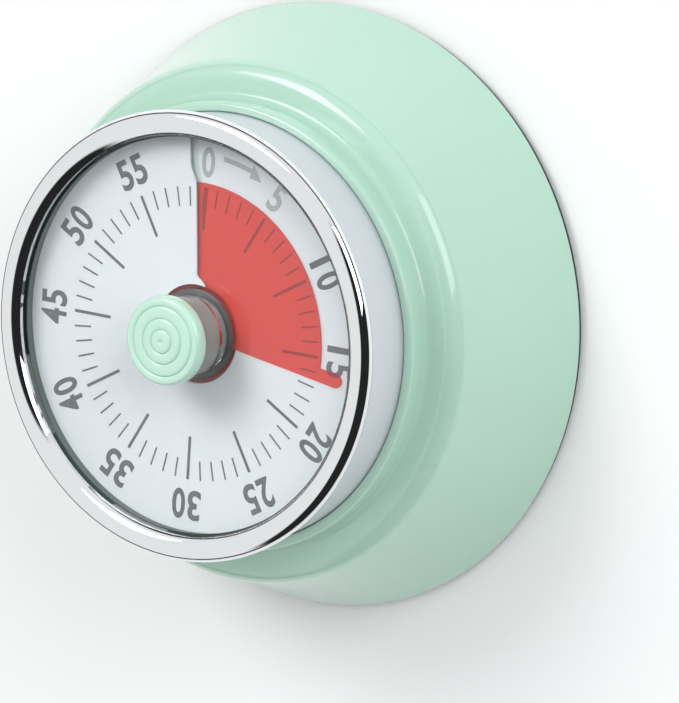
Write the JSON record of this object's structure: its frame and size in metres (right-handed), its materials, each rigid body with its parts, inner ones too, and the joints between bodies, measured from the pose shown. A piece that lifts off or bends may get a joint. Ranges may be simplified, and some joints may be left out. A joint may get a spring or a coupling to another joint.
{
  "type": "manual kitchen timer",
  "caption": "Round magnetic wind-up kitchen timer with a mint green housing, chrome bezel, white dial, red time disc and ringed knob.",
  "frame": {"origin": "centre of the back's rest surface, on the timer's axis", "axes": "+Z along the axis from the back to the face, +Y towards the dial's 0 mark, +X towards the 15 minute mark"},
  "size_m": [0.07, 0.07, 0.0342],
  "materials": {
    "mint_lacquer": "glossy mint green lacquer on steel",
    "silver_paint": "satin silver paint",
    "chrome_plate": "polished chrome",
    "clear_acrylic": "clear acrylic, polished",
    "dial_white": "matt white print on plastic sheet",
    "disc_red": "translucent red plastic film",
    "black_plastic": "moulded black ABS, lightly textured",
    "grey_plastic": "moulded dark grey plastic",
    "mint_plastic": "glossy mint green moulding",
    "rubber_black": "matt black rubber",
    "magnet_ferrite": "nickel-grey coated magnet",
    "screw_steel": "zinc-plated steel",
    "plate_brass": "stamped brass, brushed",
    "wheel_brass": "stamped brass, bright",
    "arbor_steel": "turned steel",
    "spring_steel": "blued spring steel",
    "gong_steel": "nickel-plated pressed steel"
  },
  "bodies": {
    "case": {"housing_shell": "mint_lacquer", "face_drum": "silver_paint", "bezel_ring": "chrome_plate", "lens": "clear_acrylic", "dial_plate": "dial_white", "dial_seat": "black_plastic", "back_cover": "black_plastic", "rubber_ring": "rubber_black", "magnet_discs": "magnet_ferrite", "cover_screws": "screw_steel", "back_plate": "plate_brass", "front_plate": "plate_brass", "pillars": "arbor_steel", "pillar_nuts": "screw_steel", "movement_screws": "screw_steel", "mainspring": "spring_steel", "spring_post": "arbor_steel", "hammer_spring": "spring_steel", "gong": "gong_steel", "gong_post": "arbor_steel", "gong_nut": "screw_steel"},
    "knob": {"knob_cap": "mint_plastic", "stem_washer": "rubber_black", "knob_stem": "clear_acrylic", "main_arbor": "arbor_steel", "great_wheel": "wheel_brass", "ratchet_wheel": "arbor_steel", "strike_cam": "wheel_brass", "click_screw": "screw_steel"},
    "time_disc": {"time_disc": "disc_red", "disc_hub": "grey_plastic"},
    "click": {"click_pawl": "arbor_steel"},
    "second": {"second_arbor": "arbor_steel", "second_wheel": "wheel_brass"},
    "third": {"third_arbor": "arbor_steel", "third_wheel": "wheel_brass"},
    "escape": {"escape_arbor": "arbor_steel", "escape_wheel": "wheel_brass"},
    "pallets": {"pallet_arbor": "arbor_steel", "pallet_lever": "arbor_steel", "pallet_pins": "arbor_steel"},
    "hammer": {"hammer_arbor": "arbor_steel", "hammer_tail": "arbor_steel", "hammer_arm": "arbor_steel", "hammer_head": "wheel_brass"}
  },
  "joints": [
    {"name": "knob_turn", "type": "hinge", "parent": "case", "child": "knob", "pos_m": [0, 0, 0.03185], "axis": [0, 0, -1], "range_deg": [-99, 261]},
    {"name": "disc_climb", "type": "slide", "parent": "knob", "child": "time_disc", "axis": [0, 0, 1], "range_m": [-0.0001395, 0.0003645]},
    {"name": "click_swing", "type": "hinge", "parent": "knob", "child": "click", "pos_m": [0.00599, 0.0016, 0.0148], "axis": [0, 0, 1], "range_deg": [0, 10], "stiffness_Nm_per_rad": 0.0002, "springref_deg": -5.73},
    {"name": "second_spin", "type": "hinge", "parent": "case", "child": "second", "pos_m": [-0.00866, 0.005, 0.018], "axis": [0, 0, -1], "continuous": true},
    {"name": "third_spin", "type": "hinge", "parent": "case", "child": "third", "pos_m": [-0.01518, 0.00194, 0.012], "axis": [0, 0, -1], "continuous": true},
    {"name": "escape_spin", "type": "hinge", "parent": "case", "child": "escape", "pos_m": [-0.01259, -0.00361, 0.015], "axis": [0, 0, -1], "continuous": true},
    {"name": "pallet_swing", "type": "hinge", "parent": "case", "child": "pallets", "pos_m": [-0.00969, -0.00741, 0.0136], "axis": [0, 0, -1], "range_deg": [-5, 5]},
    {"name": "hammer_swing", "type": "hinge", "parent": "case", "child": "hammer", "pos_m": [0.0195, 0.0065, 0.008], "axis": [0, 0, -1], "range_deg": [0, 12], "stiffness_Nm_per_rad": 0.002, "springref_deg": -11.46}
  ],
  "couplings": [
    {"joint": "disc_climb", "follows": "knob_turn", "m_per_rad": 0.000079577},
    {"joint": "second_spin", "follows": "knob_turn", "ratio": -9},
    {"joint": "third_spin", "follows": "knob_turn", "ratio": 72},
    {"joint": "escape_spin", "follows": "knob_turn", "ratio": -540}
  ]
}
